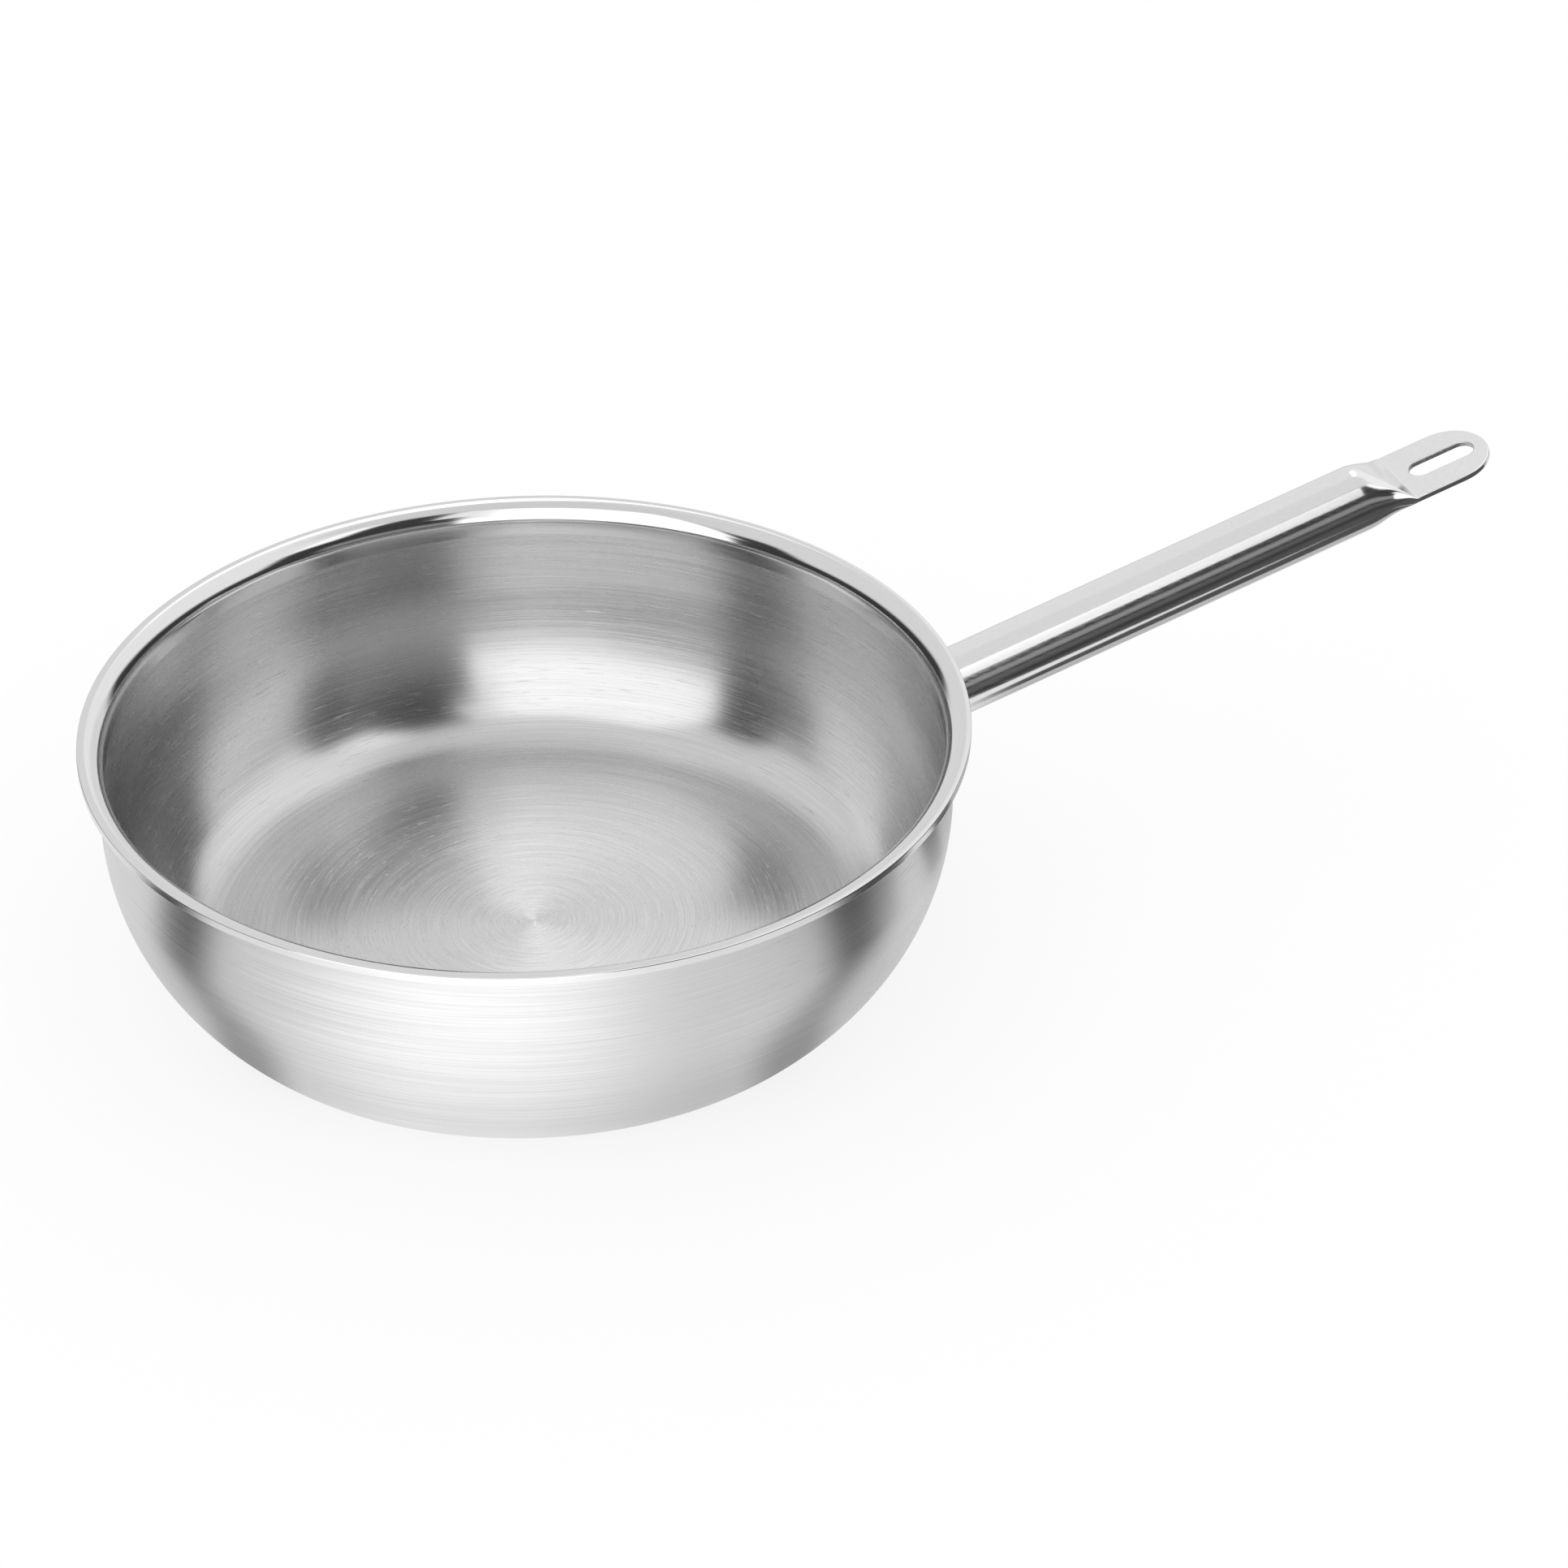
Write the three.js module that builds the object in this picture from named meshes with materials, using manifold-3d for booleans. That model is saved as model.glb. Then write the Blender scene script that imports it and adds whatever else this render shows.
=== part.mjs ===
// Deep frying pan: a three-ply clad bowl with a flared pouring lip, and a hollow tube handle
// whose pressed-flat end has a hanging slot. Millimetres, +Z up. The origin is the centre of
// the base's underside, and the handle points along +X.
import * as THREE from "three";
import { mergeVertices } from "three/addons/utils/BufferGeometryUtils.js";
import Module from "manifold-3d";

const wasm = await Module();
wasm.setup();

// Bowl: sizes of its outside face, and the thickness of the three bonded sheets
const RIM_RADIUS = 126;
const PAN_HEIGHT = 75.5;
const WALL_RADIUS = 121.3;
const WALL_CURVE_RADIUS = 67;
const FLAT_BASE_RADIUS = 91;
const BASE_CORNER_RADIUS = 16;
const LIP_BEND_RADIUS = 3.5;
const OUTER_PLY = 0.5;
const CORE_PLY = 1.5;
const INNER_PLY = 0.5;
const BOND_LINE = 0.01;

// Inside of the base: the core is thicker there, and its corner is rounder than outside
const BASE_THICKNESS = 4.4;
const INSIDE_CORNER_RADIUS = 22;

// Handle: lengths run along its tilted axis, from where the axis leaves the wall
const HANDLE_TILT = THREE.MathUtils.degToRad(16.1);
const HANDLE_LENGTH = 186.6;
const TUBE_RADIUS = 10.25;
const TUBE_WALL = 0.85;

// Pressed-flat end of the tube, with its hanging slot
const EYE_WIDTH = 25.8;
const EYE_THICKNESS = 1.7;
const EYE_LENGTH = 29;
const EYE_DROP = 0.4;
const EYE_EDGE_ROUND = 0.35;
const SHOULDER_LENGTH = 15;
const SLOT_WIDTH = 7.3;
const SLOT_LENGTH = 20.9;
const SLOT_TO_TIP = 4.1;

// Saddle plate that carries the tube on the wall, and the weld round the tube's end
const SADDLE_WIDTH = 36;
const SADDLE_TALL = 27;
const SADDLE_CORNER_RADIUS = 8;
const SADDLE_THICKNESS = 1.5;
const COLLAR_LENGTH = 8;
const COLLAR_WALL = 1.5;
const WELD_RADIUS = 2.2;
const WELD_TO_LIP = 0.8;
const SEAT_GAP = 0.1;
const FIT_GAP = 0.3;

// How finely round forms are cut into flats
const BOWL_SIDES = 60;
const CORNER_STEPS = 2;
const INSIDE_CORNER_STEPS = 4;
const WALL_STEPS = 4;
const LIP_STEPS = 3;
const SECTION_STEPS = 6;
const SHOULDER_STEPS = 10;
const WELD_STEPS = 32;
const WELD_SIDES = 10;

const BOWL_WALL = OUTER_PLY + CORE_PLY + INNER_PLY;
const OVERRUN = 20;

// Solids: a geometry becomes a manifold-3d solid for joining and cutting, and comes back after
function solidOf(geometry) {
  const bare = new THREE.BufferGeometry();
  bare.setAttribute("position", geometry.getAttribute("position"));
  bare.setIndex(geometry.index);
  const merged = mergeVertices(bare, 1e-4);
  const corners = merged.index.array;
  const kept = [];
  for (let i = 0; i < corners.length; i += 3) {
    const [a, b, c] = corners.slice(i, i + 3);
    if (a !== b && b !== c && c !== a) kept.push(a, b, c);
  }
  const mesh = new wasm.Mesh({
    numProp: 3,
    vertProperties: merged.getAttribute("position").array,
    triVerts: new Uint32Array(kept),
  });
  return new wasm.Manifold(mesh);
}

function geometryOf(solid) {
  const mesh = solid.getMesh();
  const geometry = new THREE.BufferGeometry();
  geometry.setAttribute("position", new THREE.BufferAttribute(mesh.vertProperties, 3));
  geometry.setIndex(new THREE.BufferAttribute(mesh.triVerts, 1));
  geometry.computeVertexNormals();
  return geometry;
}

// Points along a circular arc, both ends included
function arc(centreX, centreY, radius, from, to, steps) {
  const points = [];
  for (let i = 0; i <= steps; i++) {
    const angle = from + ((to - from) * i) / steps;
    points.push(
      new THREE.Vector2(centreX + radius * Math.cos(angle), centreY + radius * Math.sin(angle)),
    );
  }
  return points;
}

// A closed outline of radius and height, turned about +Z
function turned(outline) {
  const geometry = new THREE.LatheGeometry([...outline, outline[0]], BOWL_SIDES);
  geometry.rotateX(Math.PI / 2);
  return geometry;
}

// An outline in the X-Y plane, raised along +Z about the plane's own height
function raised(shape, depth, curveSegments) {
  const geometry = new THREE.ExtrudeGeometry(shape, { depth, bevelEnabled: false, curveSegments });
  geometry.translate(0, 0, -depth / 2);
  return geometry;
}

// Bowl
// The wall's curve is tangent to the upright wall above it and to the base corners below it.
const curveCentreRadius = WALL_RADIUS - WALL_CURVE_RADIUS;
const curveReach = FLAT_BASE_RADIUS - curveCentreRadius;
const curveRise = Math.sqrt((WALL_CURVE_RADIUS - BASE_CORNER_RADIUS) ** 2 - curveReach ** 2);
const curveCentreHeight = BASE_CORNER_RADIUS + curveRise;
const insideCornerHeight = BASE_THICKNESS + INSIDE_CORNER_RADIUS;
const insideRise = curveCentreHeight - insideCornerHeight;
const insideCurveRadius = WALL_CURVE_RADIUS - BOWL_WALL;
const insideReach = Math.sqrt((insideCurveRadius - INSIDE_CORNER_RADIUS) ** 2 - insideRise ** 2);
const lipCentreHeight = PAN_HEIGHT - BOWL_WALL - LIP_BEND_RADIUS;

// The base corner of a face: faces in the outer half of the wall follow the outside's corner
function baseCorner(depth) {
  if (depth < BOWL_WALL / 2) {
    return {
      reach: curveReach,
      rise: curveRise,
      radius: BASE_CORNER_RADIUS - depth,
      steps: CORNER_STEPS,
    };
  }
  return {
    reach: insideReach,
    rise: insideRise,
    radius: INSIDE_CORNER_RADIUS + BOWL_WALL - depth,
    steps: INSIDE_CORNER_STEPS,
  };
}

// One face of the bowl, from the axis to the lip's edge, at a depth inside the outer face
function bowlFace(depth) {
  const { reach, rise, radius, steps } = baseCorner(depth);
  const cornerHeight = curveCentreHeight - rise;
  const cornerAngle = -Math.atan2(rise, reach);
  return [
    new THREE.Vector2(0, cornerHeight - radius),
    ...arc(
      curveCentreRadius + reach,
      cornerHeight,
      radius,
      -Math.PI / 2,
      cornerAngle,
      steps,
    ),
    ...arc(
      curveCentreRadius,
      curveCentreHeight,
      WALL_CURVE_RADIUS - depth,
      cornerAngle,
      0,
      WALL_STEPS,
    ).slice(1),
    ...arc(
      WALL_RADIUS + LIP_BEND_RADIUS,
      lipCentreHeight,
      LIP_BEND_RADIUS + depth,
      Math.PI,
      Math.PI / 2,
      LIP_STEPS,
    ),
    new THREE.Vector2(RIM_RADIUS, lipCentreHeight + LIP_BEND_RADIUS + depth),
  ];
}

function ply(outerDepth, thickness) {
  const outside = bowlFace(outerDepth);
  const inside = bowlFace(outerDepth + thickness);
  return geometryOf(solidOf(turned([...outside, ...inside.reverse()])));
}

// Everything inside a face that stands this far off the bowl's wall, up to a height
function insideWall(standOff, top) {
  const face = bowlFace(-standOff).slice(0, -LIP_STEPS - 2);
  const edge = new THREE.Vector2(WALL_RADIUS + standOff, top);
  return turned([...face, edge, new THREE.Vector2(0, top)]);
}

// Handle frame: local X runs along the tube's axis, local Z is the top of the handle.
// The weld round the tube stays clear of the lip's bend above it.
const weldReach = TUBE_RADIUS / Math.cos(HANDLE_TILT) + WELD_RADIUS;
const handleHeight = lipCentreHeight - WELD_TO_LIP - weldReach;
const handle = new THREE.Group();
handle.position.set(WALL_RADIUS, 0, handleHeight);
handle.rotation.y = -HANDLE_TILT;
handle.updateMatrix();
const toHandle = handle.matrix.clone().invert();
const saddleFace = SEAT_GAP + SADDLE_THICKNESS;
const clearOfRim = PAN_HEIGHT + OVERRUN;

function wallSolid(standOff, top) {
  return solidOf(insideWall(standOff, top).applyMatrix4(toHandle));
}

// A rounded rectangle across the handle's axis, as points from its right side round to its left
function section(x, halfWidth, halfHeight, cornerRadius, middle) {
  const points = [];
  for (let corner = 0; corner < 4; corner++) {
    const sideY = corner === 0 || corner === 3 ? 1 : -1;
    const sideZ = corner < 2 ? 1 : -1;
    const start = (corner * Math.PI) / 2;
    const round = arc(
      sideY * (halfWidth - cornerRadius),
      middle + sideZ * (halfHeight - cornerRadius),
      cornerRadius,
      start,
      start + Math.PI / 2,
      SECTION_STEPS,
    );
    points.push(...round.map((p) => new THREE.Vector3(x, p.x, p.y)));
  }
  return points;
}

// A closed skin over a row of sections with equal numbers of points
function lofted(sections) {
  const count = sections[0].length;
  const last = (sections.length - 1) * count;
  const index = [];
  for (let i = 0; i < sections.length - 1; i++) {
    for (let j = 0; j < count; j++) {
      const a = i * count + j;
      const b = i * count + ((j + 1) % count);
      index.push(a, b, a + count, b, b + count, a + count);
    }
  }
  for (let j = 1; j < count - 1; j++) {
    index.push(0, j + 1, j);
    index.push(last, last + j, last + j + 1);
  }
  const geometry = new THREE.BufferGeometry().setFromPoints(sections.flat());
  geometry.setIndex(index);
  return geometry;
}

// Height lost by the tube along its shoulder, from 0 to 1, ending in a crease
function pressed(share) {
  const sweep = 0.75 * Math.PI;
  return (1 - Math.cos(sweep * share)) / (1 - Math.cos(sweep));
}

// The handle's sections, each shrunk by an inset, as far as they keep an inside. The tube keeps
// its width while it is tall and flares to the width of the eye as it gets flat.
function handleSections(inset) {
  const crease = HANDLE_LENGTH - EYE_LENGTH;
  const shoulder = crease - SHOULDER_LENGTH;
  const stations = [{ x: -OVERRUN, share: 0 }];
  for (let i = 0; i <= SHOULDER_STEPS; i++) {
    const along = i / SHOULDER_STEPS;
    stations.push({ x: shoulder + along * SHOULDER_LENGTH, share: pressed(along) });
  }
  stations.push({ x: HANDLE_LENGTH + OVERRUN, share: 1 });
  const sections = [];
  for (const { x, share } of stations) {
    const halfHeight = THREE.MathUtils.lerp(TUBE_RADIUS, EYE_THICKNESS / 2, share);
    const halfWidth = THREE.MathUtils.lerp(TUBE_RADIUS, EYE_WIDTH / 2, share ** 3);
    const corner = THREE.MathUtils.lerp(halfHeight, EYE_EDGE_ROUND, share ** 4);
    const room = halfHeight - inset;
    if (room < EYE_EDGE_ROUND) break;
    const cornerInside = Math.max(Math.min(corner - inset, room), EYE_EDGE_ROUND / 2);
    sections.push(section(x, halfWidth - inset, room, cornerInside, -EYE_DROP * share));
  }
  return sections;
}

// Plan of the handle: clear of its sides, with the round end of the eye
function planShape() {
  const clear = EYE_WIDTH / 2 + OVERRUN;
  const roundCentre = HANDLE_LENGTH - EYE_WIDTH / 2;
  const shape = new THREE.Shape();
  shape.moveTo(-2 * OVERRUN, -clear);
  shape.lineTo(roundCentre, -clear);
  shape.lineTo(roundCentre, -EYE_WIDTH / 2);
  shape.absarc(roundCentre, 0, EYE_WIDTH / 2, -Math.PI / 2, Math.PI / 2);
  shape.lineTo(roundCentre, clear);
  shape.lineTo(-2 * OVERRUN, clear);
  return shape;
}

function slotShape() {
  const radius = SLOT_WIDTH / 2;
  const far = HANDLE_LENGTH - SLOT_TO_TIP - radius;
  const near = HANDLE_LENGTH - SLOT_TO_TIP - SLOT_LENGTH + radius;
  const shape = new THREE.Shape();
  shape.absarc(far, 0, radius, -Math.PI / 2, Math.PI / 2);
  shape.absarc(near, 0, radius, Math.PI / 2, 1.5 * Math.PI);
  return shape;
}

function handleTube() {
  const tall = 2 * (TUBE_RADIUS + OVERRUN);
  const plan = solidOf(raised(planShape(), tall, 16));
  const slot = solidOf(raised(slotShape(), tall, 8));
  const skin = solidOf(lofted(handleSections(0)));
  const bore = solidOf(lofted(handleSections(TUBE_WALL)));
  const wall = wallSolid(saddleFace + FIT_GAP, clearOfRim);
  return geometryOf(skin.intersect(plan).subtract(bore).subtract(slot).subtract(wall));
}

// A round bar along the handle's axis
function bar(radius, from, to) {
  const geometry = new THREE.CylinderGeometry(radius, radius, to - from, WELD_STEPS);
  geometry.rotateZ(-Math.PI / 2);
  geometry.translate((from + to) / 2, 0, 0);
  return solidOf(geometry);
}

function handleSaddle() {
  const shape = new THREE.Shape();
  const y = SADDLE_TALL / 2 - SADDLE_CORNER_RADIUS;
  const x = SADDLE_WIDTH / 2 - SADDLE_CORNER_RADIUS;
  shape.absarc(x, y, SADDLE_CORNER_RADIUS, 0, Math.PI / 2);
  shape.absarc(-x, y, SADDLE_CORNER_RADIUS, Math.PI / 2, Math.PI);
  shape.absarc(-x, -y, SADDLE_CORNER_RADIUS, Math.PI, 1.5 * Math.PI);
  shape.absarc(x, -y, SADDLE_CORNER_RADIUS, 1.5 * Math.PI, 2 * Math.PI);
  const block = raised(shape, 2 * OVERRUN, 6);
  block.rotateX(Math.PI / 2);
  block.rotateZ(Math.PI / 2);
  const seat = wallSolid(SEAT_GAP, clearOfRim);
  const plate = solidOf(block).intersect(wallSolid(saddleFace, lipCentreHeight)).subtract(seat);
  const collarRadius = TUBE_RADIUS - TUBE_WALL - FIT_GAP;
  const collar = bar(collarRadius, -OVERRUN, saddleFace + COLLAR_LENGTH)
    .subtract(bar(collarRadius - COLLAR_WALL, -2 * OVERRUN, 2 * OVERRUN))
    .subtract(wallSolid(saddleFace / 2, clearOfRim));
  return geometryOf(plate.add(collar));
}

// The weld follows the line where the tube's outside meets the saddle
function handleWeld() {
  const points = [];
  for (let i = 0; i < WELD_STEPS; i++) {
    const angle = (2 * Math.PI * i) / WELD_STEPS;
    const y = TUBE_RADIUS * Math.cos(angle);
    const z = TUBE_RADIUS * Math.sin(angle);
    const fallAway = WALL_RADIUS - Math.sqrt(WALL_RADIUS ** 2 - y ** 2);
    const x = (saddleFace - fallAway) / Math.cos(HANDLE_TILT) + z * Math.tan(HANDLE_TILT);
    points.push(new THREE.Vector3(x, y, z));
  }
  const path = new THREE.CatmullRomCurve3(points, true);
  const bead = new THREE.TubeGeometry(path, WELD_STEPS, WELD_RADIUS, WELD_SIDES, true);
  return geometryOf(
    solidOf(bead)
      .subtract(bar(TUBE_RADIUS + SEAT_GAP, -OVERRUN, 2 * OVERRUN))
      .subtract(wallSolid(saddleFace + SEAT_GAP, clearOfRim)),
  );
}

// Finishes
const brushedInside = { color: 0xc9c9c9, roughness: 0.35, metalness: 1 };
const brushedOutside = { color: 0xd2d2d2, roughness: 0.3, metalness: 1 };
const bareAluminium = { color: 0xd8dadc, roughness: 0.4, metalness: 1 };
const mirrorPolish = { color: 0xdcdcdc, roughness: 0.08, metalness: 1 };
const weldedSteel = { color: 0xb8b8b8, roughness: 0.3, metalness: 1 };

function piece(name, geometry, finish) {
  const mesh = new THREE.Mesh(geometry, new THREE.MeshStandardMaterial(finish));
  mesh.name = name;
  return mesh;
}

handle.add(
  piece("handle_tube", handleTube(), mirrorPolish),
  piece("handle_saddle", handleSaddle(), weldedSteel),
  piece("handle_weld", handleWeld(), weldedSteel),
);

const pan = new THREE.Group();
pan.add(
  piece("outer_ply", ply(0, OUTER_PLY), brushedOutside),
  piece("core_ply", ply(OUTER_PLY + BOND_LINE, CORE_PLY - 2 * BOND_LINE), bareAluminium),
  piece("inner_ply", ply(OUTER_PLY + CORE_PLY, INNER_PLY), brushedInside),
  handle,
);

export default pan;
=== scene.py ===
import math

import bmesh
import bpy
from mathutils import Matrix, Vector


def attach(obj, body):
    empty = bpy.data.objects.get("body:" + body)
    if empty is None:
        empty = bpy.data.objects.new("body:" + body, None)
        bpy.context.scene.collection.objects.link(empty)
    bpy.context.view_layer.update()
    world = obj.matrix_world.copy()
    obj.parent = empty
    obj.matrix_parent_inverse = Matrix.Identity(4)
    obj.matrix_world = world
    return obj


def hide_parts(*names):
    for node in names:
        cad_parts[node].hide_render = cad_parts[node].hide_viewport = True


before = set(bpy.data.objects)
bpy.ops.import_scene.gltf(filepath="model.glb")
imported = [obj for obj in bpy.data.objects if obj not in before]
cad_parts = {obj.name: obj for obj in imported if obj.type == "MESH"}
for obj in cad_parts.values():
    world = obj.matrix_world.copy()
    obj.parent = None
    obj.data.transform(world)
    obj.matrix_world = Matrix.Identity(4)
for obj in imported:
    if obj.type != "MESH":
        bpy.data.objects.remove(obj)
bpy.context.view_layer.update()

MM = 0.001

# Bowl: the same sizes as its solids, on the outside face unless the name says otherwise
RIM_RADIUS = 126 * MM
PAN_HEIGHT = 75.5 * MM
WALL_RADIUS = 121.3 * MM
WALL_CURVE_RADIUS = 67 * MM
FLAT_BASE_RADIUS = 91 * MM
BASE_CORNER_RADIUS = 16 * MM
LIP_BEND_RADIUS = 3.5 * MM
OUTER_PLY = 0.5 * MM
CORE_PLY = 1.5 * MM
INNER_PLY = 0.5 * MM
BOWL_WALL = OUTER_PLY + CORE_PLY + INNER_PLY
LIP_EDGE_ROUND = 0.3 * MM
POLISHED_BAND = 9 * MM
BASE_THICKNESS = 4.4 * MM
INSIDE_CORNER_RADIUS = 22 * MM

# Handle: lengths run along its tilted axis, from where the axis leaves the wall
HANDLE_TILT = math.radians(16.1)
HANDLE_LENGTH = 186.6 * MM
TUBE_RADIUS = 10.25 * MM
EYE_WIDTH = 25.8 * MM
EYE_THICKNESS = 1.7 * MM
EYE_LENGTH = 29 * MM
EYE_DROP = 0.4 * MM
EYE_EDGE_ROUND = 0.35 * MM
SHOULDER_LENGTH = 15 * MM
SHOULDER_SWEEP = math.radians(135)
SLOT_WIDTH = 7.3 * MM
SLOT_LENGTH = 20.9 * MM
SLOT_TO_TIP = 4.1 * MM

# How late along the shoulder the tube widens and its edges get sharp, as powers of the height lost
WIDTH_POWER = 3
EDGE_POWER = 4

# Saddle plate and weld at the wall
SADDLE_WIDTH = 36 * MM
SADDLE_TALL = 27 * MM
SADDLE_CORNER_RADIUS = 8 * MM
SADDLE_THICKNESS = 1.5 * MM
SADDLE_EDGE_ROUND = 0.4 * MM
SADDLE_FLAT_SHARE = 0.96
SEAT_GAP = 0.1 * MM
FIT_GAP = 0.3 * MM
WELD_RADIUS = 2.2 * MM
WELD_TO_LIP = 0.8 * MM
WELD_TO_TUBE = 0.1 * MM

# Weld bead: the share of its radius that it fills, and how fine ripples and slow waves change that
WELD_FULLNESS = 0.92
RIPPLE_SHARE = 0.05
RIPPLE_COUNT = 46
WAVE_SHARE = 0.03
WAVE_COUNT = 7
WAVE_START = 1.3

# Camera, from the photograph: angles, focal length and where the centre of the rim falls
PHOTO_PIXELS = 1932
CAMERA_AZIMUTH = math.radians(-20)
CAMERA_ELEVATION = math.radians(33.565)
FOCAL_PIXELS = 5113
SENSOR_WIDTH = 36
RIM_CENTRE_PIXEL = (648.0, 881.7)
RIM_CENTRE_DISTANCE = 1173.6 * MM
CLIP_START = 10 * MM

# Studio, where 1 is white: the room, the paper and its share of glow, and the light that the metal
# mirrors from every side
ROOM_WHITE = 1.12
PAPER_SHADE = 0.9
PAPER_GLOW_SHARE = 0.82
STUDIO_FILL = 0.045
FLOOR_RADIUS = 6
FLOOR_SIDES = 96
FLOOR_DROP = 0.2 * MM

# Floor as the metal mirrors it. Azimuths are in degrees from the camera's side, positive to its right.
# Pairs are where a change starts and ends, or the levels before and after it.
# The floor glows with these painted reflections for glossy rays only
BRIGHTEST_AZIMUTH = -8
FRONT_FADE = (4, 44)
FRONT_LEVELS = (1.37, 0.9)
FAR_FRONT_SIDES = (50, 75)
FAR_FRONT_REACH = (200 * MM, 400 * MM)
FAR_FRONT_GAIN = 0.4
BEHIND_SIDES = (100, 130)
BEHIND_LEVELS = (1, 0.8)
# Painted shade on the floor close round the pan, as the metal mirrors it
PAINTED_PAN_SHADE_REACH = (100 * MM, 160 * MM)
PAINTED_PAN_SHADE_LEVELS = (0.75, 1)
GAP_REACH = (120 * MM, 180 * MM)
GAP_AZIMUTHS = (48, 71)
GAP_DEPTHS = (0.5, 0.95)
GAP_FADE = (2, 13)

# Painted dark patch and strip that the handle mirrors, and painted shade under it: X runs along the
# handle, Y across
PAINTED_DARK_START_X = (150 * MM, 180 * MM)
DARK_PATCH_EDGE_Y = (-93 * MM, -83 * MM)
PAINTED_DARK_DEPTH = 0.95
STRIP_EDGE_Y = (-22 * MM, -14 * MM)
STRIP_SLANT = 0.3
STRIP_SLANT_EDGE = (2 * MM, 10 * MM)
HANDLE_SHADE_Y = (-15 * MM, 40 * MM)
HANDLE_SHADE_SOFT = 10 * MM
HANDLE_SHADE_DEPTH = 0.4

# How finely round forms are cut
BOWL_SIDES = 240
BASE_RINGS = 24
CORNER_STEPS = 14
CURVE_STEPS = 26
WALL_RINGS = 10
LIP_STEPS = 14
LIP_EDGE_STEPS = 5
RIM_RINGS = 2
TUBE_RINGS = 20
SECTION_STEPS = 12
SHOULDER_STEPS = 36
EYE_STEPS = 24
EYE_SIDE_STEPS = 4
SADDLE_RINGS = 8
SADDLE_CORNER_STEPS = 10
SADDLE_SIDE_STEPS = 6
SADDLE_EDGE_STEPS = 4
WELD_SIDES = 230
WELD_STEPS = 8
SETTLING_ROUNDS = 4
MERGE_DISTANCE = 0.002 * MM


# Outlines

def arc(centre, radius, start, end, steps):
    """Points along a circular arc, angles in degrees, both ends included."""
    points = []
    for i in range(steps + 1):
        angle = math.radians(start + (end - start) * i / steps)
        points.append((centre[0] + radius * math.cos(angle), centre[1] + radius * math.sin(angle)))
    return points


def mix(a, b, share):
    """The value that lies a share of the way from a to b."""
    return a + (b - a) * share


def straight(start, end, steps):
    """Points along a straight line, both ends left out."""
    points = []
    for i in range(1, steps):
        share = i / steps
        points.append((mix(start[0], end[0], share), mix(start[1], end[1], share)))
    return points


# The wall's curve is tangent to the upright wall above it and to the base corners below it
curve_centre_radius = WALL_RADIUS - WALL_CURVE_RADIUS
curve_reach = FLAT_BASE_RADIUS - curve_centre_radius
curve_rise = math.sqrt((WALL_CURVE_RADIUS - BASE_CORNER_RADIUS) ** 2 - curve_reach ** 2)
curve_centre_height = BASE_CORNER_RADIUS + curve_rise
inside_rise = curve_centre_height - BASE_THICKNESS - INSIDE_CORNER_RADIUS
inside_reach = math.sqrt(
    (WALL_CURVE_RADIUS - BOWL_WALL - INSIDE_CORNER_RADIUS) ** 2 - inside_rise ** 2
)
lip_centre_height = PAN_HEIGHT - BOWL_WALL - LIP_BEND_RADIUS
handle_height = lip_centre_height - WELD_TO_LIP - TUBE_RADIUS / math.cos(HANDLE_TILT) - WELD_RADIUS


def base_corner(depth):
    """Reach and rise to the centre of a face's base corner, and its radius.

    Faces in the outer half of the wall follow the outside's corner, the others the inside's.
    """
    if depth < BOWL_WALL / 2:
        return curve_reach, curve_rise, BASE_CORNER_RADIUS - depth
    return inside_reach, inside_rise, INSIDE_CORNER_RADIUS + BOWL_WALL - depth


def bowl_face(depth):
    """One face of the bowl, from near the axis to the start of the lip's edge, as (radius, height)."""
    reach, rise, radius = base_corner(depth)
    corner_centre = (curve_centre_radius + reach, curve_centre_height - rise)
    curve_centre = (curve_centre_radius, curve_centre_height)
    lip_centre = (WALL_RADIUS + LIP_BEND_RADIUS, lip_centre_height)
    corner_angle = -math.degrees(math.atan2(rise, reach))
    corner = arc(corner_centre, radius, -90, corner_angle, CORNER_STEPS)
    curve = arc(curve_centre, WALL_CURVE_RADIUS - depth, corner_angle, 0, CURVE_STEPS)
    lip = arc(lip_centre, LIP_BEND_RADIUS + depth, 180, 90, LIP_STEPS)
    base = straight((0, corner[0][1]), corner[0], BASE_RINGS)
    wall = straight(curve[-1], lip[0], WALL_RINGS)
    rim = straight(lip[-1], (RIM_RADIUS - LIP_EDGE_ROUND, lip[-1][1]), RIM_RINGS)
    return base + corner + curve[1:] + wall + lip + rim


def lip_edge(outer_depth, inner_depth):
    """The lip's cut edge between two faces, rounded where it meets the air."""
    low = lip_centre_height + LIP_BEND_RADIUS + outer_depth
    high = lip_centre_height + LIP_BEND_RADIUS + inner_depth
    inset = RIM_RADIUS - LIP_EDGE_ROUND
    if outer_depth == 0:
        below = arc((inset, low + LIP_EDGE_ROUND), LIP_EDGE_ROUND, -90, 0, LIP_EDGE_STEPS)
    else:
        below = [(inset, low), (RIM_RADIUS, low)]
    if inner_depth == BOWL_WALL:
        above = arc((inset, high - LIP_EDGE_ROUND), LIP_EDGE_ROUND, 0, 90, LIP_EDGE_STEPS)
    else:
        above = [(RIM_RADIUS, high), (inset, high)]
    return below + above


# Meshes

def finish_mesh(name, bm, materials, sharp_degrees=40):
    """A smooth-shaded object from a bmesh, with normals that keep flat faces flat."""
    bmesh.ops.recalc_face_normals(bm, faces=bm.faces)
    for face in bm.faces:
        face.smooth = True
    for edge in bm.edges:
        if edge.calc_face_angle(0) > math.radians(sharp_degrees):
            edge.smooth = False
    mesh = bpy.data.meshes.new(name)
    bm.to_mesh(mesh)
    bm.free()
    for material in materials:
        mesh.materials.append(material)
    obj = bpy.data.objects.new(name, mesh)
    bpy.context.scene.collection.objects.link(obj)
    weighted = obj.modifiers.new("flat faces stay flat", "WEIGHTED_NORMAL")
    weighted.keep_sharp = True
    return obj


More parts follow.
